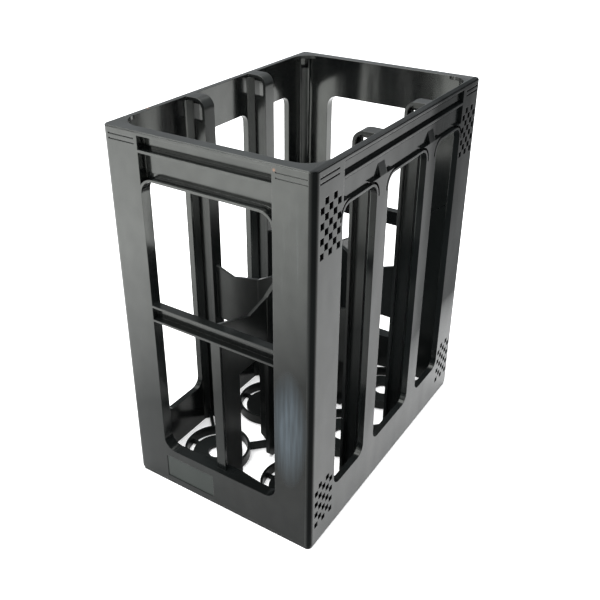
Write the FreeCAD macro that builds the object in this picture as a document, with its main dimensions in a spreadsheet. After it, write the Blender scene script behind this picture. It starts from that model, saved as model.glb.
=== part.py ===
import FreeCAD, Part

import math
import os

import Sketcher

# Open crate that carries six wine bottles upright, three along and two across.
# It is one thin-walled moulding. X runs along the long side, Y along the short side and Z up.
# The origin is the middle of the footprint, on the ground. Sizes are in millimetres.

SIZES = {
    # Outer form
    "overall_length": 300.0,
    "overall_width": 198.0,
    "overall_height": 355.0,
    "outer_corner_radius": 5.0,
    "base_rebate_height": 4.0,
    "base_rebate_depth": 1.2,
    # Cavity and rim
    "short_wall_depth": 10.5,
    "long_wall_depth": 6.0,
    "cavity_corner_radius": 11.0,
    "skin": 2.4,
    "bottle_pitch": 93.0,
    "rim_thickness": 3.2,
    "rim_corner_radius": 21.0,
    "rim_step_height": 1.0,
    "rim_step_depth": 0.8,
    # Opening in each short wall
    "short_block_width": 36.1,
    "short_window_sill": 42.7,
    "short_window_head": 315.5,
    "short_window_radius": 12.0,
    # Three openings in each long wall
    "long_block_width": 39.6,
    "column_width": 19.7,
    "long_window_sill": 45.3,
    "long_window_head": 316.5,
    "long_window_radius": 10.0,
    # Recessed bands under the rim
    "middle_rib_top": 340.2,
    "middle_rib_thickness": 2.2,
    "bead_thickness": 2.1,
    "bead_groove_width": 2.0,
    "bead_leg": 1.5,
    "short_recess_depth": 8.3,
    "long_recess_depth": 4.0,
    "plate_height": 1.0,
    "plate_border": 2.6,
    "column_ramp_height": 14.0,
    # Crossbar of each short wall
    "crossbar_bottom": 184.0,
    "crossbar_top": 199.8,
    "crossbar_depth": 8.0,
    "crossbar_flange_thickness": 2.0,
    "crossbar_web_thickness": 2.0,
    # Posts with a T section, on the long walls
    "post_root_depth": 5.0,
    "post_root_tip_width": 8.0,
    "post_reach": 19.8,
    "post_flange_width": 14.0,
    "post_flange_thickness": 2.8,
    "post_web_thickness": 2.8,
    "post_cap_radius": 10.0,
    "web_hole_top": 348.0,
    "web_hole_height": 15.0,
    "web_hole_margin": 2.0,
    # Dividers
    "divider_thickness": 3.0,
    "divider_bottom": 132.0,
    "divider_low_point": 183.5,
    "divider_height_at_wall": 197.5,
    "divider_height_at_post": 190.5,
    "low_point_from_wall": 42.5,
    "low_point_from_post": 20.0,
    # Crosses where the dividers meet
    "cross_arm": 24.0,
    "cross_thickness": 4.2,
    "cross_shoulder_height": 189.6,
    "cross_crown_height": 197.0,
    "cross_crown_half_width": 10.0,
    "cross_foot_taper": 6.0,
    # Legs of the dividers at the short walls
    "leg_width": 25.0,
    "leg_flange_width": 9.5,
    "leg_flange_thickness": 2.8,
    # Open base
    "base_lift": 1.0,
    "ring_radius": 33.0,
    "ring_thickness": 2.5,
    "ring_height": 10.0,
    "disc_radius": 25.0,
    "disc_hole_radius": 9.5,
    "disc_thickness": 3.5,
    "spoke_thickness": 3.2,
    "spoke_height": 8.0,
    "sill_bulge_depth": 3.4,
    "sill_bulge_half_width": 40.0,
    "sill_bulge_crest_half_width": 16.0,
    # Cores in the short walls, open underneath
    "core_outer_skin": 3.0,
    "core_height": 330.0,
    # Small blind cells in the long faces of the corner blocks
    "cell_width": 5.3,
    "cell_height": 5.3,
    "cell_depth": 4.2,
    "cell_pitch_along": 6.0,
    "cell_pitch_up": 6.0,
    "cell_inset": 10.0,
    "lower_cell_height": 24.0,
    "upper_cell_height": 288.0,
    # Pairs of engraved lines near the top of the corner blocks
    "line_length": 27.0,
    "line_height": 1.3,
    "line_depth": 0.8,
    "line_inset": 6.0,
    "line_drop": 6.0,
    "line_spacing": 4.2,
    # Blind holes under the rim in the inner corners
    "corner_hole_width": 8.0,
    "corner_hole_depth": 8.0,
    "corner_hole_height": 11.0,
    # Plain label field at the foot of the short walls
    "label_offset": 7.0,
    "label_width": 55.0,
    "label_bottom": 9.0,
    "label_height": 25.0,
    "label_depth": 0.6,
}

CELL_COLUMNS = 5
CELL_ROWS = 4
DIAGONAL = math.sqrt(0.5)
QUARTER_TURN = math.pi / 2


class Size:
    """A length that knows both its formula in the sheet's names and its present value."""

    def __init__(self, formula, value):
        self.formula = formula
        self.value = value

    def __add__(self, other):
        return Size(f"({self.formula} + {other.formula})", self.value + other.value)

    def __sub__(self, other):
        return Size(f"({self.formula} - {other.formula})", self.value - other.value)

    def __mul__(self, factor):
        return Size(f"({self.formula} * {factor:.9g})", self.value * factor)

    def __truediv__(self, divisor):
        return Size(f"({self.formula} / {divisor:.9g})", self.value / divisor)

    def __neg__(self):
        return self * -1


ZERO = Size("0", 0.0)


def make_sheet(document):
    sheet = document.addObject("Spreadsheet::Sheet", "Sizes")
    for row, (name, value) in enumerate(SIZES.items(), start=1):
        sheet.set(f"A{row}", name)
        sheet.set(f"B{row}", str(value))
        sheet.setAlias(f"B{row}", name)
    document.recompute()
    return sheet


def size(name):
    return Size(f"Sizes.{name}", float(sheet.get(name)))


document = FreeCAD.newDocument("crate")
sheet = make_sheet(document)


def origin_feature(body, role):
    return [feature for feature in body.Origin.OriginFeatures if feature.Role == role][0]


class Drawing:
    """A sketch whose constraints are gathered first and then added together."""

    def __init__(self, body, name):
        self.body = body
        self.sketch = body.newObject("Sketcher::SketchObject", name)
        self.constraints = []
        self.dimensions = {}

    def add_geometry(self, geometry):
        return self.sketch.addGeometry(geometry)

    def finish(self):
        self.sketch.addConstraint(self.constraints)
        for number, formula in self.dimensions.items():
            name = f"Size{number}"
            self.sketch.renameConstraint(number, name)
            self.sketch.setExpression(f"Constraints.{name}", formula)
        return self.sketch


def make_sketch(body, name, plane, distance=ZERO):
    """A sketch parallel to an origin plane, moved along that plane's normal."""
    drawing = Drawing(body, name)
    drawing.sketch.AttachmentSupport = (origin_feature(body, plane), [""])
    drawing.sketch.MapMode = "FlatFace"
    if distance is not ZERO:
        drawing.sketch.setExpression("AttachmentOffset.Base.z", distance.formula)
    return drawing


def add_constraint(drawing, kind, *arguments):
    drawing.constraints.append(Sketcher.Constraint(kind, *arguments))


def add_dimension(drawing, kind, length, *references):
    """A dimension whose value follows a formula."""
    drawing.dimensions[len(drawing.constraints)] = length.formula
    add_constraint(drawing, kind, *references, length.value)


def place_along(drawing, axis, length, geometry, point):
    """Holds one coordinate of a point of the sketch."""
    if length is ZERO:
        add_constraint(drawing, "PointOnObject", geometry, point, -2 if axis == "X" else -1)
    else:
        add_dimension(drawing, f"Distance{axis}", length, -1, 1, geometry, point)


def add_line(drawing, start, end):
    return drawing.add_geometry(Part.LineSegment(FreeCAD.Vector(*start, 0), FreeCAD.Vector(*end, 0)))


def draw_polygon(drawing, points):
    """A closed outline of straight edges with every corner held in place."""
    places = [(x.value, y.value) for x, y in points]
    lines = [add_line(drawing, start, end) for start, end in zip(places, places[1:] + places[:1])]
    for index, (x, y) in enumerate(points):
        add_constraint(drawing, "Coincident", lines[index - 1], 2, lines[index], 1)
        place_along(drawing, "X", x, lines[index], 1)
        place_along(drawing, "Y", y, lines[index], 1)


def unit_step(start, end):
    """Direction of a level or upright edge."""
    step = (end[0] - start[0], end[1] - start[1])
    length = math.hypot(*step)
    return (step[0] / length, step[1] / length)


def draw_square_outline(drawing, corners):
    """A closed outline of level and upright edges in turn, the first one level.

    Each corner is (x, y, radius), where a radius of None leaves it sharp.
    """
    count = len(corners)
    places = [(x.value, y.value) for x, y, radius in corners]
    reach = [radius.value if radius else 0.0 for x, y, radius in corners]
    steps = [unit_step(places[i], places[(i + 1) % count]) for i in range(count)]
    lines = []
    for i in range(count):
        j = (i + 1) % count
        start = [places[i][k] + steps[i][k] * reach[i] for k in (0, 1)]
        end = [places[j][k] - steps[i][k] * reach[j] for k in (0, 1)]
        lines.append(add_line(drawing, start, end))
    for i, (x, y, radius) in enumerate(corners):
        if i % 2 == 0:
            add_constraint(drawing, "Horizontal", lines[i])
            place_along(drawing, "Y", y, lines[i], 1)
        else:
            add_constraint(drawing, "Vertical", lines[i])
            place_along(drawing, "X", x, lines[i], 1)
        if radius is None:
            add_constraint(drawing, "Coincident", lines[i - 1], 2, lines[i], 1)
        else:
            round_corner(drawing, lines[i - 1], lines[i], places[i], steps[i - 1], steps[i], radius)


def round_corner(drawing, line_in, line_out, place, step_in, step_out, radius):
    """A tangent arc between two edges that meet at a right angle."""
    centre = [place[k] + radius.value * (step_out[k] - step_in[k]) for k in (0, 1)]
    turns_left = step_in[0] * step_out[1] - step_in[1] * step_out[0] > 0
    first_step = [-step_out[0], -step_out[1]] if turns_left else step_in
    start_angle = math.atan2(first_step[1], first_step[0])
    circle = Part.Circle(FreeCAD.Vector(*centre, 0), FreeCAD.Vector(0, 0, 1), radius.value)
    arc = drawing.add_geometry(Part.ArcOfCircle(circle, start_angle, start_angle + QUARTER_TURN))
    add_constraint(drawing, "Tangent", line_in, 2, arc, 1 if turns_left else 2)
    add_constraint(drawing, "Tangent", line_out, 1, arc, 2 if turns_left else 1)
    add_dimension(drawing, "Radius", radius, arc)


def draw_rectangle(drawing, left, right, bottom, top, radius=None):
    corners = [(left, bottom), (right, bottom), (right, top), (left, top)]
    draw_square_outline(drawing, [(x, y, radius) for x, y in corners])


def draw_half_rectangle(drawing, right, bottom, top, radius):
    """The right half of a rectangle that is centred on the upright axis."""
    corners = [(ZERO, bottom, None), (right, bottom, radius), (right, top, radius), (ZERO, top, None)]
    draw_square_outline(drawing, corners)


def draw_arch(drawing, left, right, top, radius, band, foot):
    """A band of even width that follows an opening's sides, top corners and top edge."""
    corners = [
        (left - band, foot, None),
        (left, foot, None),
        (left, top, radius),
        (right, top, radius),
        (right, foot, None),
        (right + band, foot, None),
        (right + band, top + band, radius + band),
        (left - band, top + band, radius + band),
    ]
    draw_square_outline(drawing, corners)


def draw_half_arch(drawing, right, top, radius, band, foot):
    """The right half of an arch that is centred on the upright axis."""
    corners = [
        (ZERO, top, None),
        (right, top, radius),
        (right, foot, None),
        (right + band, foot, None),
        (right + band, top + band, radius + band),
        (ZERO, top + band, None),
    ]
    draw_square_outline(drawing, corners)


def draw_circle(drawing, x, y, radius):
    circle = Part.Circle(FreeCAD.Vector(x.value, y.value, 0), FreeCAD.Vector(0, 0, 1), radius.value)
    number = drawing.add_geometry(circle)
    place_along(drawing, "X", x, number, 3)
    place_along(drawing, "Y", y, number, 3)
    add_dimension(drawing, "Radius", radius, number)


def extrude(kind, name, drawing, length, reversed_direction, both_ways):
    """A pad or pocket. Without a length it goes through everything."""
    body = drawing.body
    feature = body.newObject(f"PartDesign::{kind}", name)
    feature.Profile = drawing.finish()
    if length is None:
        feature.Type = "ThroughAll"
    else:
        feature.setExpression("Length", length.formula)
    if both_ways:
        feature.SideType = "Symmetric"
    feature.Reversed = reversed_direction
    feature.Refine = False
    body.Tip = feature
    return feature


def pad(name, drawing, length, along_normal=True, both_ways=False):
    return extrude("Pad", name, drawing, length, not along_normal, both_ways)


def pocket(name, drawing, length=None, along_normal=False, both_ways=False):
    return extrude("Pocket", name, drawing, length, along_normal, both_ways)


def combine(body, name, other, kind):
    """Fuses another body to this one or cuts it out."""
    feature = body.newObject("PartDesign::Boolean", name)
    feature.setObjects([other])
    feature.Type = kind
    body.Tip = feature


def make_mirror(body, name, plane):
    feature = body.newObject("PartDesign::Mirrored", name)
    feature.MirrorPlane = (origin_feature(body, plane), [""])
    return feature


# Sizes that several features share
half_length = size("overall_length") / 2
half_width = size("overall_width") / 2
height = size("overall_height")
half_cavity_length = half_length - size("short_wall_depth")
half_cavity_width = half_width - size("long_wall_depth")
rim_underside = height - size("rim_thickness")
post_x = size("bottle_pitch") / 2
half_column = size("column_width") / 2
half_divider = size("divider_thickness") / 2
short_window_side = half_width - size("short_block_width")
centre_window_side = post_x - half_column
side_window_start = post_x + half_column
side_window_end = half_length - size("long_block_width")
rib_underside = size("middle_rib_top") - size("middle_rib_thickness")
short_recess_bottom = size("short_window_head") + size("bead_thickness")
long_recess_bottom = size("long_window_head") + size("bead_thickness") + size("bead_groove_width")
short_recess_floor = half_length - size("short_recess_depth")
long_recess_floor = half_width - size("long_recess_depth")
crossbar_back = half_length - size("crossbar_depth")
crossbar_web_face = crossbar_back + size("crossbar_web_thickness")
crossbar_web_middle = crossbar_back + size("crossbar_web_thickness") / 2
post_face = half_cavity_width - size("post_reach")
flange_back = post_face + size("post_flange_thickness")
flange_middle = post_face + size("post_flange_thickness") / 2
root_tip = half_cavity_width - size("post_root_depth")
wall_middle = half_cavity_width + size("long_wall_depth") / 4


# One quarter of the crate, with positive X and Y. The rest is its reflection.


def add_walls(body):
    outline = make_sketch(body, "FootprintSketch", "XY_Plane")
    draw_square_outline(
        outline,
        [
            (ZERO, ZERO, None),
            (half_length, ZERO, None),
            (half_length, half_width, size("outer_corner_radius")),
            (ZERO, half_width, None),
        ],
    )
    pad("Block", outline, height)
    add_cavity(body, "Cavity", ZERO, rim_underside, size("cavity_corner_radius"))
    add_cavity(body, "RimOpening", rim_underside, size("rim_thickness"), size("rim_corner_radius"))


def add_cavity(body, name, start, depth, corner_radius):
    sketch = make_sketch(body, f"{name}Sketch", "XY_Plane", start)
    draw_square_outline(
        sketch,
        [
            (ZERO, ZERO, None),
            (half_cavity_length, ZERO, None),
            (half_cavity_length, half_cavity_width, corner_radius),
            (ZERO, half_cavity_width, None),
        ],
    )
    pocket(name, sketch, depth, along_normal=True)


def add_edge_rebate(body, name, start, rebate_height, rebate_depth):
    """Takes a narrow step off the outer faces all round, between two heights."""
    sketch = make_sketch(body, f"{name}Sketch", "XY_Plane", start)
    inner_x = half_length - rebate_depth
    inner_y = half_width - rebate_depth
    outer_x = half_length + rebate_depth
    outer_y = half_width + rebate_depth
    draw_square_outline(
        sketch,
        [
            (ZERO, inner_y, None),
            (inner_x, inner_y, size("outer_corner_radius") - rebate_depth),
            (inner_x, ZERO, None),
            (outer_x, ZERO, None),
            (outer_x, outer_y, None),
            (ZERO, outer_y, None),
        ],
    )
    pocket(name, sketch, rebate_height, along_normal=True)


def add_windows(body):
    sketch = make_sketch(body, "LongWindowSketch", "XZ_Plane")
    sill = size("long_window_sill")
    head = size("long_window_head")
    radius = size("long_window_radius")
    draw_half_rectangle(sketch, centre_window_side, sill, head, radius)
    draw_rectangle(sketch, side_window_start, side_window_end, sill, head, radius)
    pocket("LongWindows", sketch, both_ways=True)
    sketch = make_sketch(body, "ShortWindowSketch", "YZ_Plane")
    draw_half_rectangle(
        sketch,
        short_window_side,
        size("short_window_sill"),
        size("short_window_head"),
        size("short_window_radius"),
    )
    pocket("ShortWindow", sketch, both_ways=True)


def add_short_bands(body):
    """Two recessed bands under the rim of the short wall, each with a raised bare plate."""
    border = size("plate_border")
    depth = size("short_recess_depth")
    radius = size("short_window_radius")
    lower_edge = size("short_window_head") - radius - size("bead_leg")
    recess = make_sketch(body, "ShortRecessSketch", "YZ_Plane", half_length)
    draw_rectangle(recess, ZERO, short_window_side, size("middle_rib_top"), rim_underside)
    draw_rectangle(recess, ZERO, short_window_side, lower_edge, rib_underside)
    pocket("ShortRecesses", recess, depth)

    bead = make_sketch(body, "ShortBeadSketch", "YZ_Plane", short_recess_floor)
    thickness = size("bead_thickness")
    head = size("short_window_head")
    draw_half_arch(bead, short_window_side, head, radius, thickness, lower_edge)
    pad("ShortBead", bead, depth)

    plate = make_sketch(body, "ShortPlateSketch", "YZ_Plane", short_recess_floor)
    plate_side = short_window_side - border
    upper_plate = size("middle_rib_top") + border
    draw_rectangle(plate, ZERO, plate_side, upper_plate, rim_underside - border)
    draw_rectangle(plate, ZERO, plate_side, short_recess_bottom + border, rib_underside - border)
    pad("ShortPlates", plate, size("plate_height"))


def add_long_bands(body):
    """The same bands on the long wall, shallower, with a bead groove over each opening."""
    border = size("plate_border")
    depth = size("long_recess_depth")
    recess = make_sketch(body, "LongRecessSketch", "XZ_Plane", -half_width)
    draw_rectangle(recess, ZERO, side_window_end, size("middle_rib_top"), rim_underside)
    draw_rectangle(recess, ZERO, side_window_end, long_recess_bottom, rib_underside)
    pocket("LongRecesses", recess, depth, along_normal=True)

    plate = make_sketch(body, "LongPlateSketch", "XZ_Plane", -long_recess_floor)
    plate_side = side_window_end - border
    upper_plate = size("middle_rib_top") + border
    draw_rectangle(plate, ZERO, plate_side, upper_plate, rim_underside - border)
    draw_rectangle(plate, ZERO, plate_side, long_recess_bottom, rib_underside - border)
    pad("LongPlates", plate, size("plate_height"), along_normal=False)

    groove = make_sketch(body, "BeadGrooveSketch", "XZ_Plane", -half_width)
    bead = size("bead_thickness")
    width = size("bead_groove_width")
    radius = size("long_window_radius") + bead
    top = size("long_window_head") + bead
    foot = size("long_window_head") - size("long_window_radius") - size("bead_leg")
    draw_half_arch(groove, centre_window_side + bead, top, radius, width, foot)
    left = side_window_start - bead
    draw_arch(groove, left, side_window_end + bead, top, radius, width, foot)
    pocket("BeadGrooves", groove, depth, along_normal=True)


def add_column_ramp(body):
    """A slope that leads the column's face up into the lower band."""
    sketch = make_sketch(body, "ColumnRampSketch", "YZ_Plane", post_x)
    points = [
        (long_recess_floor, long_recess_bottom),
        (half_width, long_recess_bottom),
        (long_recess_floor, long_recess_bottom + size("column_ramp_height")),
    ]
    draw_polygon(sketch, points)
    gap_to_grooves = (size("bead_thickness") + size("bead_groove_width")) * 2
    pad("ColumnRamp", sketch, size("column_width") - gap_to_grooves, both_ways=True)


def add_crossbar(body):
    """A channel across the short opening, open to the outside."""
    bottom = size("crossbar_bottom")
    top = size("crossbar_top")
    flange = size("crossbar_flange_thickness")
    sketch = make_sketch(body, "CrossbarSketch", "XZ_Plane")
    corners = [
        (crossbar_back, bottom),
        (half_length, bottom),
        (half_length, bottom + flange),
        (crossbar_web_face, bottom + flange),
        (crossbar_web_face, top - flange),
        (half_length, top - flange),
        (half_length, top),
        (crossbar_back, top),
    ]
    draw_square_outline(sketch, [(x, y, None) for x, y in corners])
    pad("Crossbar", sketch, short_window_side + size("skin"), along_normal=False)


def add_post(body):
    """A post with a T section that stands on the long wall between two bottles."""
    base = size("base_lift")
    inner_radius = size("post_cap_radius") - size("post_flange_thickness")
    cap_underside = height - size("post_flange_thickness")
    hook = make_sketch(body, "PostFlangeSketch", "YZ_Plane", post_x)
    corners = [
        (post_face, base, None),
        (flange_back, base, None),
        (flange_back, cap_underside, inner_radius),
        (wall_middle, cap_underside, None),
        (wall_middle, height, None),
        (post_face, height, size("post_cap_radius")),
    ]
    draw_square_outline(hook, corners)
    pad("PostFlange", hook, size("post_flange_width"), both_ways=True)

    blade = make_sketch(body, "PostWebSketch", "YZ_Plane", post_x)
    corners = [
        (flange_middle, base, None),
        (wall_middle, base, None),
        (wall_middle, cap_underside, None),
        (flange_middle, cap_underside, inner_radius),
    ]
    draw_square_outline(blade, corners)
    hole_side = flange_back + size("web_hole_margin")
    hole_bottom = size("web_hole_top") - size("web_hole_height")
    draw_rectangle(blade, hole_side, root_tip, hole_bottom, size("web_hole_top"))
    pad("PostWeb", blade, size("post_web_thickness"), both_ways=True)

    root = make_sketch(body, "PostRootSketch", "XY_Plane", base)
    half_tip = size("post_root_tip_width") / 2
    points = [
        (post_x - half_column, half_cavity_width),
        (post_x - half_tip, root_tip),
        (post_x + half_tip, root_tip),
        (post_x + half_column, half_cavity_width),
    ]
    draw_polygon(root, points)
    pad("PostRoot", root, rim_underside - base)


def add_dividers(body):
    """Saddle-edged walls between the bottles."""
    bottom = size("divider_bottom")
    low = size("divider_low_point")
    shoulder = size("cross_shoulder_height")
    arm = size("cross_arm")
    along = make_sketch(body, "LongDividerSketch", "XZ_Plane")
    points = [
        (ZERO, bottom),
        (crossbar_web_middle, bottom),
        (crossbar_web_middle, size("divider_height_at_wall")),
        (half_cavity_length, size("divider_height_at_wall")),
        (half_cavity_length - size("low_point_from_wall"), low),
        (post_x + arm, shoulder),
        (post_x - arm, shoulder),
        (ZERO, low),
    ]
    draw_polygon(along, points)
    pad("LongDivider", along, half_divider, along_normal=False)

    across = make_sketch(body, "CrossDividerSketch", "YZ_Plane", post_x)
    points = [
        (ZERO, bottom),
        (flange_middle, bottom),
        (flange_middle, size("divider_height_at_post")),
        (post_face, size("divider_height_at_post")),
        (post_face - size("low_point_from_post"), low),
        (arm, shoulder),
        (ZERO, shoulder),
    ]
    draw_polygon(across, points)
    pad("CrossDivider", across, size("divider_thickness"), both_ways=True)


def add_cross(body):
    """A cross-shaped post from the base to the top of the dividers, where these meet."""
    arm = size("cross_arm")
    foot = size("base_lift")
    taper = size("cross_foot_taper")
    crown = size("cross_crown_half_width")
    crown_height = size("cross_crown_height")
    shoulder = size("cross_shoulder_height")
    along = make_sketch(body, "CrossAlongSketch", "XZ_Plane")
    points = [
        (post_x - arm + taper, foot),
        (post_x + arm - taper, foot),
        (post_x + arm, foot + taper),
        (post_x + arm, shoulder),
        (post_x + crown, crown_height),
        (post_x - crown, crown_height),
        (post_x - arm, shoulder),
        (post_x - arm, foot + taper),
    ]
    draw_polygon(along, points)
    pad("CrossAlong", along, size("cross_thickness") / 2, along_normal=False)
    across = make_sketch(body, "CrossAcrossSketch", "YZ_Plane", post_x)
    points = [
        (ZERO, foot),
        (arm - taper, foot),
        (arm, foot + taper),
        (arm, shoulder),
        (crown, crown_height),
        (ZERO, crown_height),
    ]
    draw_polygon(across, points)
    pad("CrossAcross", across, size("cross_thickness"), both_ways=True)


def add_wall_leg(body):
    """The long divider's end runs down to the base as a leg with an outer flange."""
    inner = half_cavity_length - size("leg_width")
    sill = size("short_window_sill")
    leg = make_sketch(body, "LegSketch", "XZ_Plane")
    corners = [
        (inner, size("base_lift")),
        (half_cavity_length, size("base_lift")),
        (half_cavity_length, sill),
        (crossbar_web_middle, sill),
        (crossbar_web_middle, size("divider_bottom")),
        (inner, size("divider_bottom")),
    ]
    draw_square_outline(leg, [(x, y, None) for x, y in corners])
    pad("Leg", leg, half_divider, along_normal=False)
    strip = make_sketch(body, "LegFlangeSketch", "XZ_Plane")
    outer = crossbar_back + size("leg_flange_thickness")
    draw_rectangle(strip, crossbar_back, outer, sill, size("crossbar_bottom"))
    pad("LegFlange", strip, size("leg_flange_width") / 2, along_normal=False)


def add_sill_bulge(body):
    """The short wall's foot swells inwards between the bottles."""
    sketch = make_sketch(body, "SillBulgeSketch", "XY_Plane")
    inner = half_cavity_length - size("sill_bulge_depth")
    points = [
        (half_cavity_length, ZERO),
        (half_cavity_length, size("sill_bulge_half_width")),
        (inner, size("sill_bulge_crest_half_width")),
        (inner, ZERO),
    ]
    draw_polygon(sketch, points)
    pad("SillBulge", sketch, size("short_window_sill"))


def add_cores(body):
    """Hollows that open underneath, in the corner block and in the foot of the short wall."""
    outer = half_length - size("core_outer_skin")
    inner = half_cavity_length + size("skin")
    sketch = make_sketch(body, "BlockCoreSketch", "XY_Plane")
    draw_rectangle(sketch, inner, outer, short_window_side + size("skin"), half_cavity_width)
    pocket("BlockCore", sketch, size("core_height"), along_normal=True)
    sketch = make_sketch(body, "SillCoreSketch", "XY_Plane")
    half_skin = size("skin") / 2
    draw_rectangle(sketch, inner, outer, half_skin, short_window_side - half_skin)
    depth = size("short_window_sill") - size("skin")
    pocket("SillCore", sketch, depth, along_normal=True)


def cut_blind_cells(body):
    """Small square cells in a chequer pattern, near the top and foot of the long face."""
    cells = document.addObject("PartDesign::Body", "Cells")
    zones = {"Lower": size("lower_cell_height"), "Upper": size("upper_cell_height")}
    for zone, foot in zones.items():
        for column in range(CELL_COLUMNS):
            x = half_length - size("cell_inset") - size("cell_pitch_along") * column
            first_level = foot + size("cell_pitch_up") * (column % 2)
            add_cell_column(cells, f"{zone}Cells{column}", x, first_level)
    combine(body, "BlindCells", cells, "Cut")


def add_cell_column(cells, name, x, first_level):
    """The hollows of one upright row of cells, two pitches apart."""
    half_cell = size("cell_width") / 2
    half_cell_height = size("cell_height") / 2
    sketch = make_sketch(cells, f"{name}Sketch", "XZ_Plane", -half_width)
    for row in range(CELL_ROWS):
        z = first_level + size("cell_pitch_up") * (2 * row)
        draw_rectangle(sketch, x - half_cell, x + half_cell, z - half_cell_height, z + half_cell_height)
    pad(name, sketch, size("cell_depth"))


def add_engraved_lines(body):
    """Two fine level lines near the top of both faces of the corner block."""
    half_line = size("line_height") / 2
    faces = (
        ("LongFaceLines", "XZ_Plane", -half_width, half_length, True),
        ("ShortFaceLines", "YZ_Plane", half_length, half_width, False),
    )
    for name, plane, face, corner, along_normal in faces:
        end = corner - size("line_inset")
        sketch = make_sketch(body, f"{name}Sketch", plane, face)
        for drop in (size("line_drop"), size("line_drop") + size("line_spacing")):
            middle = height - drop
            start = end - size("line_length")
            draw_rectangle(sketch, start, end, middle - half_line, middle + half_line)
        pocket(name, sketch, size("line_depth"), along_normal=along_normal)


def add_corner_hole(body):
    """A blind hole under the rim in the inner corner, on the diagonal."""
    centre_x = half_cavity_length - size("cavity_corner_radius")
    centre_y = half_cavity_width - size("cavity_corner_radius")
    side = size("corner_hole_width") * (DIAGONAL / 2)
    near = size("cavity_corner_radius") * (DIAGONAL / 2)
    far = (size("cavity_corner_radius") + size("corner_hole_depth")) * DIAGONAL
    points = [
        (centre_x + near + side, centre_y + near - side),
        (centre_x + far + side, centre_y + far - side),
        (centre_x + far - side, centre_y + far + side),
        (centre_x + near - side, centre_y + near + side),
    ]
    start = rim_underside - size("corner_hole_height")
    sketch = make_sketch(body, "CornerHoleSketch", "XY_Plane", start)
    draw_polygon(sketch, points)
    pocket("CornerHole", sketch, size("corner_hole_height"), along_normal=True)


def reflect_all(body, name, plane):
    """Adds the reflection of everything made so far."""
    feature = make_mirror(body, name, plane)
    feature.TransformMode = "Whole shape"
    body.Tip = feature
    document.recompute()


def add_label_field(body):
    """A shallow plain field on the foot of the short wall, for a label."""
    offset = size("label_offset")
    bottom = size("label_bottom")
    sketch = make_sketch(body, "LabelSketch", "YZ_Plane", half_length)
    end = offset + size("label_width")
    draw_rectangle(sketch, offset, end, bottom, bottom + size("label_height"))
    pocket("LabelField", sketch, size("label_depth"))


def diagonal_cross(x, y, reach, thickness):
    """Corners of two crossed bars at 45 degrees, centred on a point."""
    near = thickness * DIAGONAL
    far = reach + near / 2
    inner = reach - near / 2
    return [
        (x + near, y),
        (x + far, y + inner),
        (x + inner, y + far),
        (x, y + near),
        (x - inner, y + far),
        (x - far, y + inner),
        (x - near, y),
        (x - far, y - inner),
        (x - inner, y - far),
        (x, y - near),
        (x + inner, y - far),
        (x + far, y - inner),
    ]


def add_base(body):
    """Under each bottle an open disc in a ring, held by bars to the cell's corners."""
    base = size("base_lift")
    x = size("bottle_pitch")
    y = post_x
    inner_radius = size("ring_radius") - size("ring_thickness")
    bars = make_sketch(body, "BaseBarSketch", "XY_Plane", base)
    draw_polygon(bars, diagonal_cross(x, y, post_x, size("spoke_thickness")))
    clearing = make_sketch(body, "RingClearingSketch", "XY_Plane", base)
    draw_circle(clearing, x, y, inner_radius)
    ring = make_sketch(body, "RingSketch", "XY_Plane", base)
    draw_circle(ring, x, y, size("ring_radius"))
    draw_circle(ring, x, y, inner_radius)
    spokes = make_sketch(body, "DiscSpokeSketch", "XY_Plane", base)
    half_spoke = size("spoke_thickness") / 2
    near = size("disc_radius") - half_spoke
    far = size("ring_radius") - size("ring_thickness") / 2
    draw_rectangle(spokes, x + near, x + far, y - half_spoke, y + half_spoke)
    draw_rectangle(spokes, x - far, x - near, y - half_spoke, y + half_spoke)
    draw_rectangle(spokes, x - half_spoke, x + half_spoke, y + near, y + far)
    draw_rectangle(spokes, x - half_spoke, x + half_spoke, y - far, y - near)
    disc = make_sketch(body, "DiscSketch", "XY_Plane", base)
    draw_circle(disc, x, y, size("disc_radius"))
    draw_circle(disc, x, y, size("disc_hole_radius"))
    thickness = size("disc_thickness")
    features = [
        pad("BaseBars", bars, size("spoke_height")),
        pocket("RingClearing", clearing, size("spoke_height"), along_normal=True),
        pad("Ring", ring, size("ring_height")),
        pad("DiscSpokes", spokes, thickness),
        pad("Disc", disc, thickness),
    ]
    pair = body.newObject("PartDesign::LinearPattern", "CentreBase")
    pair.Originals = features
    pair.Direction = (origin_feature(body, "X_Axis"), [""])
    pair.Reversed = True
    pair.Mode = "Spacing"
    pair.setExpression("Offset", x.formula)
    pair.Occurrences = 2
    body.Tip = pair
    trim = make_sketch(body, "QuarterTrimSketch", "XY_Plane")
    draw_square_outline(
        trim, [(-x, ZERO, None), (ZERO, ZERO, None), (ZERO, x, None), (-x, x, None)]
    )
    pocket("QuarterTrim", trim, size("long_window_sill"), along_normal=True)


def join_base(body):
    """Builds the base of the quarter by itself and fuses it to the walls."""
    base = document.addObject("PartDesign::Body", "Base")
    add_base(base)
    combine(body, "BaseJoin", base, "Fuse")


def build_crate():
    body = document.addObject("PartDesign::Body", "Crate")
    body.Label = "crate"
    add_walls(body)
    add_edge_rebate(body, "BaseRebate", ZERO, size("base_rebate_height"), size("base_rebate_depth"))
    step_height = size("rim_step_height")
    add_edge_rebate(body, "RimStep", height - step_height, step_height, size("rim_step_depth"))
    add_windows(body)
    add_short_bands(body)
    add_long_bands(body)
    add_column_ramp(body)
    add_crossbar(body)
    add_post(body)
    add_dividers(body)
    add_cross(body)
    add_wall_leg(body)
    add_sill_bulge(body)
    add_cores(body)
    add_engraved_lines(body)
    add_corner_hole(body)
    join_base(body)
    cut_blind_cells(body)
    reflect_all(body, "Half", "XZ_Plane")
    add_label_field(body)
    reflect_all(body, "Whole", "YZ_Plane")
    return body


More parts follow.
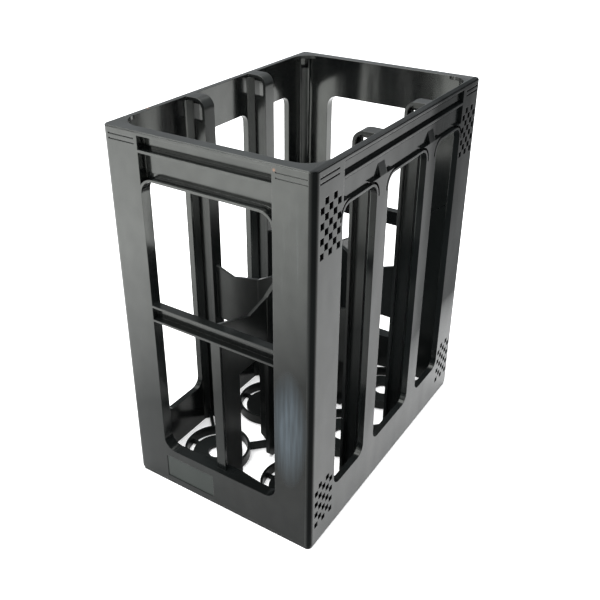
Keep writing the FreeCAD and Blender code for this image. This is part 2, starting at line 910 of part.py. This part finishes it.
def check_model(crate):
    for item in document.Objects:
        if "Invalid" in item.State or "Error" in item.State:
            raise RuntimeError(f"{item.Name} failed: {item.State}")
    shape = crate.Shape
    if shape.isNull() or not shape.isValid() or len(shape.Solids) != 1:
        raise RuntimeError("the crate is not one sound solid")


crate = build_crate()
document.recompute()
check_model(crate)
os.makedirs("parts", exist_ok=True)
crate.Shape.exportStep("parts/crate.step")
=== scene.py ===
import bpy
from mathutils import Matrix, Vector


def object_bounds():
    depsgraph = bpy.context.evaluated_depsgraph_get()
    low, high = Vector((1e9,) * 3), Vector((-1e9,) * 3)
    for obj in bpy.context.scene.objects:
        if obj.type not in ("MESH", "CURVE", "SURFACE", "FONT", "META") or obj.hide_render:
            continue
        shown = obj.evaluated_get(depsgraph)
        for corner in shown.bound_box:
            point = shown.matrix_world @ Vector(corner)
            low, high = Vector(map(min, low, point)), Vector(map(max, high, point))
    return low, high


# Looks of the open bottle crate: black moulded plastic on a pale studio floor.
# Lengths are in metres. Left is towards negative X, the near long side towards negative Y.

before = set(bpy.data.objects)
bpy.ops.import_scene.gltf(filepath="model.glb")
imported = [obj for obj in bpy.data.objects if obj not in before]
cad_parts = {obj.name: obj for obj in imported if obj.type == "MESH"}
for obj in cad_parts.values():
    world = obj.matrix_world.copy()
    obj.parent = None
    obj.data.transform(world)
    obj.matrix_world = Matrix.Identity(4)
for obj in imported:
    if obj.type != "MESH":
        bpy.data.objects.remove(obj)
cad_low, cad_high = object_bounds()
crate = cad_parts["crate"]

# The picture's measures in pixels, and the camera that was found from the crate's edges in it.
# The sensor's width is in millimetres.
PICTURE_SIDE = 600
FOCAL_LENGTH = 787.3
PRINCIPAL_POINT = (293.8, 271.3)
SENSOR_WIDTH = 36.0
CAMERA_PLACE = Vector((-0.5728, -0.3540, 0.5469))
CAMERA_RIGHT = Vector((0.54262, -0.83997, 0.00259))
CAMERA_UP = Vector((0.39716, 0.25928, 0.88036))
CAMERA_RANGE = (0.01, 100.0)

# Colours
PLASTIC_COLOUR = (0.0035, 0.004, 0.004)
SCUFFED_COLOUR = (0.02, 0.024, 0.024)
FIELD_COLOUR = (0.017, 0.021, 0.019)
BLOOM_COLOUR = (0.05, 0.064, 0.076)
RUST_COLOUR = (0.13, 0.055, 0.025)
FLOOR_COLOUR = (0.9, 0.9, 0.9)
SKY_COLOUR = (0.93, 0.97, 1.0)

# Studio. Each softbox has a place, a point that it faces, a width, a depth and a power in watts.
FLOOR_SIZE = 14.0
FLOOR_ROUGHNESS = 0.9
FLOOR_GLOW = 0.3
SKY_STRENGTH = 0.48
SOFTBOXES = {
    "softbox_above": ((-0.2, 0.3, 2.4), (0.0, 0.0, 0.0), 3.4, 3.0, 205.0),
    "softbox_left": ((-1.8, 0.9, 1.3), (0.0, 0.0, 0.2), 1.2, 1.4, 14.0),
}

# Surface
FINISH_ROUGHNESS = 0.14
SCUFFED_ROUGHNESS = 0.4
EDGE_ROUNDING = 0.0007
EDGE_SAMPLES = 4

# Painted shade: reflections weaken towards the foot, where the floor beside the crate is shaded. Gloss
# rises between two heights and falls off a little towards the right
SHADE_FULL_BELOW = 0.09
SHADE_GONE_ABOVE = 0.26
GLOSS_AT_FOOT = 0.12
GLOSS_AT_RIM = 0.76
GLOSS_SHARE_AT_RIGHT = 0.85
# Both heights lie higher on the near side, by this slope from a starting line
GLOSS_SLOPE = 0.5
GLOSS_SLOPE_START = 0.08

# The near long face has its own gloss: left end, right part and lower band
LONG_FACE_LIMIT = -0.0935
LONG_FACE_RIGHT = 0.06
LONG_FACE_GLOSS_LEFT = 0.27
LONG_FACE_GLOSS_RIGHT = 0.01
LONG_BAND_GLOSS = 0.34
LONG_BAND_FADE = (0.03, 0.13)
SPECULAR_TINT = (0.97, 1.0, 0.94)

# The plain label field at the foot of the left side: its middle and half its size
LABEL_MIDDLE = (-0.15, 0.0345, 0.0215)
LABEL_REACH = (0.001, 0.0275, 0.0125)

# Wear on the left side's near corner block: centre and reach of each patch
SCRATCHED_PATCH = ((-0.15, -0.08, 0.285), (0.02, 0.016, 0.06))
BLOOM_PATCH = ((-0.15, -0.077, 0.125), (0.03, 0.019, 0.062))
# Distance from a patch's centre, as a share of its reach, where it ends and where it is full
PATCH_FADE = (1.0, 0.3)

# Noise patterns: how each is drawn out along the axes, its scale and its detail
HAZE_NOISE = ((1.0, 1.0, 0.35), 9.0, 3.0)
SCRATCH_NOISE = ((1.0, 1.0, 0.03), 260.0, 2.0)
BRUSHED_NOISE = ((1.0, 1.0, 0.05), 420.0, 2.0)
MOTTLE_NOISE = ((1.0, 1.0, 0.7), 85.0, 4.0)
# The noise values between which each pattern rises
HAZE_RANGE = (0.42, 0.72)
SCRATCH_RANGE = (0.55, 0.75)
BRUSHED_RANGE = (0.35, 0.7)
MOTTLE_RANGE = (0.35, 0.65)
HAZE_SHARE = 0.35
BRUSHED_LEAST = 0.5

# Uneven faces: the noise, and the strength and height of its ripples
RIPPLES = (
    (((1.0, 1.0, 0.4), 60.0, 2.0), 0.06, 0.0015),
    (((1.0, 1.0, 0.3), 13.0, 2.0), 0.35, 0.006),
)

# A painted dark reflection on the near upright edge: its reflections are cut over this reach from its
# line
PAINTED_DARK_REFLECTION_EDGE = ((-0.149, -0.098, 0.17), (0.0056, 0.0056, 3.0))
PAINTED_DARK_REFLECTION_SHARE = 0.96

# Rust specks at the rim: place and radius
RUST_SPECKS = (((-0.099, 0.0965, 0.355), 0.0019), ((-0.15, -0.065, 0.3505), 0.0017))

# What stands between the walls is rougher, and its reflections are weakened as painted shade. This box
# ends 1 mm short of the walls' inner faces.
INSIDE_REACH = (0.1385, 0.092, 1.0)
INSIDE_SHADED_GLOSS_SHARE = 0.7
INSIDE_ROUGHNESS = 0.14
# Share of the gloss at the dull and bright ends of the mottle
MOTTLE_SHARES = (0.93, 1.05)


def add_node(tree, kind, **settings):
    node = tree.nodes.new(f"ShaderNode{kind}")
    for name, value in settings.items():
        setattr(node, name, value)
    return node


def add_math(tree, operation, first, second):
    """One step of arithmetic, with sockets or plain numbers as its inputs."""
    node = add_node(tree, "Math", operation=operation)
    for index, value in enumerate((first, second)):
        if isinstance(value, float):
            node.inputs[index].default_value = value
        else:
            tree.links.new(value, node.inputs[index])
    return node.outputs["Value"]


def add_ramp(tree, source, start, end, low, high):
    """Turns values between start and end into values between low and high."""
    node = add_node(tree, "MapRange")
    tree.links.new(source, node.inputs["Value"])
    node.inputs["From Min"].default_value = start
    node.inputs["From Max"].default_value = end
    node.inputs["To Min"].default_value = low
    node.inputs["To Max"].default_value = high
    return node.outputs["Result"]


def add_noise(tree, place, pattern):
    """Soft noise in the object's own space."""
    stretch, scale, detail = pattern
    mapping = add_node(tree, "Mapping")
    mapping.inputs["Scale"].default_value = stretch
    tree.links.new(place, mapping.inputs["Vector"])
    noise = add_node(tree, "TexNoise")
    noise.inputs["Scale"].default_value = scale
    noise.inputs["Detail"].default_value = detail
    tree.links.new(mapping.outputs["Vector"], noise.inputs["Vector"])
    return noise.outputs["Fac"]


def mix_colours(tree, share, first, second):
    node = add_node(tree, "Mix", data_type="RGBA")
    tree.links.new(share, node.inputs["Factor"])
    for socket, value in ((node.inputs["A"], first), (node.inputs["B"], second)):
        if isinstance(value, tuple):
            socket.default_value = (*value, 1.0)
        else:
            tree.links.new(value, socket)
    return node.outputs["Result"]


def add_patch(tree, place, centre, size):
    """1 in the middle of an egg-shaped patch, falling to 0 at its edge."""
    offset = add_node(tree, "VectorMath", operation="SUBTRACT")
    tree.links.new(place, offset.inputs[0])
    offset.inputs[1].default_value = centre
    scaled = add_node(tree, "VectorMath", operation="DIVIDE")
    tree.links.new(offset.outputs["Vector"], scaled.inputs[0])
    scaled.inputs[1].default_value = size
    length = add_node(tree, "VectorMath", operation="LENGTH")
    tree.links.new(scaled.outputs["Vector"], length.inputs[0])
    return add_ramp(tree, length.outputs["Value"], *PATCH_FADE, 0.0, 1.0)


def add_bump(tree, normal, heights, strength, distance):
    node = add_node(tree, "Bump")
    node.inputs["Strength"].default_value = strength
    node.inputs["Distance"].default_value = distance
    tree.links.new(heights, node.inputs["Height"])
    tree.links.new(normal, node.inputs["Normal"])
    return node.outputs["Normal"]


def add_box_mask(tree, place, middle, reach):
    """1 inside a box and 0 outside it."""
    offset = add_node(tree, "VectorMath", operation="SUBTRACT")
    tree.links.new(place, offset.inputs[0])
    offset.inputs[1].default_value = middle
    distance = add_node(tree, "VectorMath", operation="ABSOLUTE")
    tree.links.new(offset.outputs["Vector"], distance.inputs[0])
    parts = add_node(tree, "SeparateXYZ")
    tree.links.new(distance.outputs["Vector"], parts.inputs["Vector"])
    inside = [add_math(tree, "LESS_THAN", parts.outputs[i], reach[i]) for i in range(3)]
    return add_math(tree, "MULTIPLY", add_math(tree, "MULTIPLY", inside[0], inside[1]), inside[2])


def add_gloss(tree, place):
    """The strength of the reflections over the crate, with painted shade towards the foot and a
    painted dark reflection on the near upright edge.
    """
    parts = add_node(tree, "SeparateXYZ")
    tree.links.new(place, parts.inputs["Vector"])
    x, y, z = [parts.outputs[axis] for axis in "XYZ"]
    lowered = add_math(tree, "MULTIPLY", add_math(tree, "SUBTRACT", y, GLOSS_SLOPE_START), GLOSS_SLOPE)
    level = add_math(tree, "ADD", z, lowered)
    # Painted shade: weaker reflections towards the foot
    rising = add_ramp(tree, level, SHADE_FULL_BELOW, SHADE_GONE_ABOVE, GLOSS_AT_FOOT, GLOSS_AT_RIM)
    falling = add_ramp(tree, x, cad_low.x, cad_high.x, 1.0, GLOSS_SHARE_AT_RIGHT)
    general = add_math(tree, "MULTIPLY", rising, falling)
    across = add_ramp(tree, x, cad_low.x, LONG_FACE_RIGHT, LONG_FACE_GLOSS_LEFT, LONG_FACE_GLOSS_RIGHT)
    band = add_ramp(tree, z, *LONG_BAND_FADE, LONG_BAND_GLOSS, 0.0)
    long_face = add_math(tree, "MAXIMUM", across, band)
    on_long_face = add_math(tree, "LESS_THAN", y, LONG_FACE_LIMIT)
    change = add_math(tree, "MULTIPLY", add_math(tree, "SUBTRACT", long_face, general), on_long_face)
    gloss = add_math(tree, "ADD", general, change)
    # Painted dark reflection along the near upright edge
    edge = add_patch(tree, place, *PAINTED_DARK_REFLECTION_EDGE)
    rest = add_math(tree, "SUBTRACT", 1.0, add_math(tree, "MULTIPLY", edge, PAINTED_DARK_REFLECTION_SHARE))
    return add_math(tree, "MULTIPLY", gloss, rest)


def add_wear(tree, place):
    """How rubbed the surface is: an overall haze, and scratches on the near corner block."""
    haze = add_ramp(tree, add_noise(tree, place, HAZE_NOISE), *HAZE_RANGE, 0.0, 1.0)
    streaks = add_ramp(tree, add_noise(tree, place, SCRATCH_NOISE), *SCRATCH_RANGE, 0.0, 1.0)
    scratches = add_math(tree, "MULTIPLY", streaks, add_patch(tree, place, *SCRATCHED_PATCH))
    return add_math(tree, "ADD", add_math(tree, "MULTIPLY", haze, HAZE_SHARE), scratches)


def add_colour(tree, place, wear):
    """Black plastic with rubbed parts, a pale bloom, the label field and specks of rust."""
    colour = mix_colours(tree, wear, PLASTIC_COLOUR, SCUFFED_COLOUR)
    brushed = add_ramp(tree, add_noise(tree, place, BRUSHED_NOISE), *BRUSHED_RANGE, BRUSHED_LEAST, 1.0)
    bloom = add_math(tree, "MULTIPLY", add_patch(tree, place, *BLOOM_PATCH), brushed)
    colour = mix_colours(tree, bloom, colour, BLOOM_COLOUR)
    field = add_box_mask(tree, place, LABEL_MIDDLE, LABEL_REACH)
    colour = mix_colours(tree, field, colour, FIELD_COLOUR)
    for centre, radius in RUST_SPECKS:
        speck = add_patch(tree, place, centre, (radius, radius, radius))
        colour = mix_colours(tree, speck, colour, RUST_COLOUR)
    return colour


def add_surface(tree, place):
    """The normal, with softened edges and the ripples of moulded faces."""
    rounding = add_node(tree, "Bevel", samples=EDGE_SAMPLES)
    rounding.inputs["Radius"].default_value = EDGE_ROUNDING
    normal = rounding.outputs["Normal"]
    for pattern, strength, distance in RIPPLES:
        normal = add_bump(tree, normal, add_noise(tree, place, pattern), strength, distance)
    return normal


def make_plastic():
    """Black polyethylene, semi-gloss on the walls; between them rougher, with weaker reflections as
    painted shade.
    """
    material = bpy.data.materials.new("moulded_plastic")
    material.use_nodes = True
    tree = material.node_tree
    shader = tree.nodes["Principled BSDF"]
    place = add_node(tree, "TexCoord").outputs["Object"]
    wear = add_wear(tree, place)
    tree.links.new(add_colour(tree, place, wear), shader.inputs["Base Color"])

    inside = add_box_mask(tree, place, (0.0, 0.0, 0.0), INSIDE_REACH)
    finish = add_ramp(tree, wear, 0.0, 1.0, FINISH_ROUGHNESS, SCUFFED_ROUGHNESS)
    roughness = add_math(tree, "ADD", finish, add_math(tree, "MULTIPLY", inside, INSIDE_ROUGHNESS))
    tree.links.new(roughness, shader.inputs["Roughness"])
    tree.links.new(add_surface(tree, place), shader.inputs["Normal"])

    # Painted shade between the walls: weaker reflections there
    inside_shade = add_ramp(tree, inside, 0.0, 1.0, 1.0, INSIDE_SHADED_GLOSS_SHARE)
    mottle = add_ramp(tree, add_noise(tree, place, MOTTLE_NOISE), *MOTTLE_RANGE, *MOTTLE_SHARES)
    share = add_math(tree, "MULTIPLY", inside_shade, mottle)
    gloss = add_math(tree, "MULTIPLY", add_gloss(tree, place), share)
    tree.links.new(gloss, shader.inputs["Specular IOR Level"])
    shader.inputs["Specular Tint"].default_value = (*SPECULAR_TINT, 1.0)
    return material


def make_floor():
    bpy.ops.mesh.primitive_plane_add(size=FLOOR_SIZE)
    floor = bpy.context.object
    floor.name = "studio_floor"
    material = bpy.data.materials.new("pale_floor")
    material.use_nodes = True
    shader = material.node_tree.nodes["Principled BSDF"]
    shader.inputs["Base Color"].default_value = (*FLOOR_COLOUR, 1.0)
    shader.inputs["Roughness"].default_value = FLOOR_ROUGHNESS
    shader.inputs["Specular IOR Level"].default_value = 0.0
    shader.inputs["Emission Color"].default_value = (*FLOOR_COLOUR, 1.0)
    shader.inputs["Emission Strength"].default_value = FLOOR_GLOW
    floor.data.materials.append(material)


def make_sky():
    world = bpy.data.worlds.new("studio")
    world.use_nodes = True
    background = world.node_tree.nodes["Background"]
    background.inputs["Color"].default_value = (*SKY_COLOUR, 1.0)
    background.inputs["Strength"].default_value = SKY_STRENGTH
    bpy.context.scene.world = world


def add_softbox(name, place, target, width, depth, power):
    light = bpy.data.lights.new(name, "AREA")
    light.shape = "RECTANGLE"
    light.size = width
    light.size_y = depth
    light.energy = power
    holder = bpy.data.objects.new(name, light)
    holder.location = place
    holder.rotation_mode = "QUATERNION"
    direction = Vector(target) - Vector(place)
    holder.rotation_quaternion = direction.to_track_quat("-Z", "Y")
    bpy.context.scene.collection.objects.link(holder)


def make_camera():
    data = bpy.data.cameras.new("photo_camera")
    data.sensor_width = SENSOR_WIDTH
    data.lens = SENSOR_WIDTH * FOCAL_LENGTH / PICTURE_SIDE
    data.shift_x = (PICTURE_SIDE / 2 - PRINCIPAL_POINT[0]) / PICTURE_SIDE
    data.shift_y = (PRINCIPAL_POINT[1] - PICTURE_SIDE / 2) / PICTURE_SIDE
    data.clip_start, data.clip_end = CAMERA_RANGE
    camera = bpy.data.objects.new("photo_camera", data)
    back = CAMERA_RIGHT.cross(CAMERA_UP)
    turn = Matrix((CAMERA_RIGHT, CAMERA_UP, back)).transposed()
    camera.matrix_world = Matrix.LocRotScale(CAMERA_PLACE, turn.to_quaternion(), None)
    bpy.context.scene.collection.objects.link(camera)
    bpy.context.scene.camera = camera


crate.data.materials.clear()
crate.data.materials.append(make_plastic())

make_floor()
make_sky()
for name, settings in SOFTBOXES.items():
    add_softbox(name, *settings)
make_camera()
bpy.context.scene.view_settings.view_transform = "Standard"
